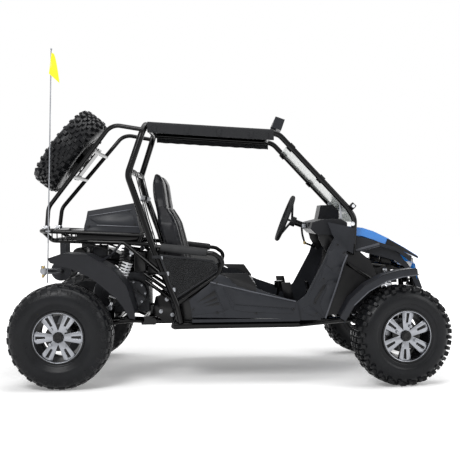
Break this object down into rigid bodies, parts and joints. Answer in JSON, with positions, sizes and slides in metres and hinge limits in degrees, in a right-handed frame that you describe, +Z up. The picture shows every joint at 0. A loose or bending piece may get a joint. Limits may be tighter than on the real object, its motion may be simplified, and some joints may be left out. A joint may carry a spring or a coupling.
{
  "type": "two-seat off-road buggy",
  "caption": "Open two-seat off-road buggy with a tube cage, bucket seats, knobby tyres, a rear rack and a spare wheel.",
  "frame": {"origin": "on the ground under the middle of the wheelbase and the centre plane", "axes": "+X forward, +Y to the vehicle's left, +Z up"},
  "size_m": [2.3853, 1.4852, 1.867],
  "materials": {
    "black_frame": "gloss",
    "grey_steel": "satin",
    "engine_metal": "satin",
    "machined_alloy": "satin",
    "black_plastic": "matte",
    "blue_plastic": "gloss",
    "tyre_rubber": "matte",
    "foam_rubber": "matte",
    "seat_vinyl": "satin",
    "black_fabric": "matte",
    "yellow_fabric": "matte",
    "clear_sheet": "gloss",
    "lamp_lens": "gloss",
    "white_spring": "gloss"
  },
  "bodies": {
    "chassis": {"cage_front": "black_frame", "controls": "black_frame", "cowl_sides": "black_plastic", "dashboard": "black_plastic", "engine": "engine_metal", "engine_cover": "black_plastic", "flag": "yellow_fabric", "flag_pole": "grey_steel", "floor_pan": "black_frame", "front_arms": "black_frame", "front_fenders": "black_plastic", "front_shocks": "white_spring", "grille": "black_plastic", "headlights": "lamp_lens", "hood": "blue_plastic", "hood_sides": "black_plastic", "light_bar": "black_plastic", "lower_frame": "black_frame", "main_hoop": "black_frame", "muffler": "black_frame", "nose": "black_plastic", "rear_cage": "black_frame", "rear_fenders": "black_plastic", "rear_rack": "black_frame", "rear_shocks": "white_spring", "roof_canopy": "black_fabric", "seat_backs": "seat_vinyl", "seat_belts": "black_fabric", "seat_cushions": "seat_vinyl", "side_bar_pads": "foam_rubber", "side_bars": "black_frame", "side_nets": "black_fabric", "side_panels": "black_plastic", "spare_mount": "grey_steel", "spare_rim": "machined_alloy", "spare_tyre": "tyre_rubber", "steering_column": "black_frame", "steering_rack": "engine_metal", "swing_arm": "black_frame", "windshield": "clear_sheet", "windshield_clamps": "black_frame"},
    "knuckle_left": {"knuckle_left": "grey_steel"},
    "knuckle_right": {"knuckle_right": "grey_steel"},
    "front_wheel_left": {"front_tyre_left": "tyre_rubber", "front_rim_left": "machined_alloy", "front_disc_left": "grey_steel"},
    "front_wheel_right": {"front_tyre_right": "tyre_rubber", "front_rim_right": "machined_alloy", "front_disc_right": "grey_steel"},
    "rear_wheels": {"rear_axle": "grey_steel", "rear_tyres": "tyre_rubber", "rear_rims": "machined_alloy"},
    "steering_wheel": {"steering_wheel": "foam_rubber"},
    "tie_rods": {"tie_rods": "grey_steel"}
  },
  "joints": [
    {"name": "steer_left", "type": "hinge", "parent": "chassis", "child": "knuckle_left", "pos_m": [0.9, 0.535, 0.266], "axis": [0, 0, 1], "range_deg": [-39, 13]},
    {"name": "steer_right", "type": "hinge", "parent": "chassis", "child": "knuckle_right", "pos_m": [0.9, -0.535, 0.266], "axis": [0, 0, 1], "range_deg": [-39, 13]},
    {"name": "tie_rod_slide", "type": "slide", "parent": "chassis", "child": "tie_rods", "axis": [0, 1, 0], "range_m": [-0.02221, 0.06623]},
    {"name": "steering_wheel_turn", "type": "hinge", "parent": "chassis", "child": "steering_wheel", "pos_m": [0.358, 0.2, 0.891], "axis": [0.927, 0, -0.375], "range_deg": [-65.01, 195.01]},
    {"name": "spin_front_left", "type": "hinge", "parent": "knuckle_left", "child": "front_wheel_left", "pos_m": [0.8829, 0.60905, 0.266], "axis": [-0.225, 0.9744, 0], "continuous": true},
    {"name": "spin_front_right", "type": "hinge", "parent": "knuckle_right", "child": "front_wheel_right", "pos_m": [0.9171, -0.60905, 0.266], "axis": [-0.225, 0.9744, 0], "continuous": true},
    {"name": "spin_rear", "type": "hinge", "parent": "chassis", "child": "rear_wheels", "pos_m": [-0.9, 0, 0.28], "axis": [0, 1, 0], "continuous": true}
  ],
  "couplings": [
    {"joint": "steer_right", "follows": "steer_left", "ratio": 1},
    {"joint": "tie_rod_slide", "follows": "steer_left", "m_per_rad": -0.097},
    {"joint": "steering_wheel_turn", "follows": "steer_left", "ratio": -5}
  ]
}
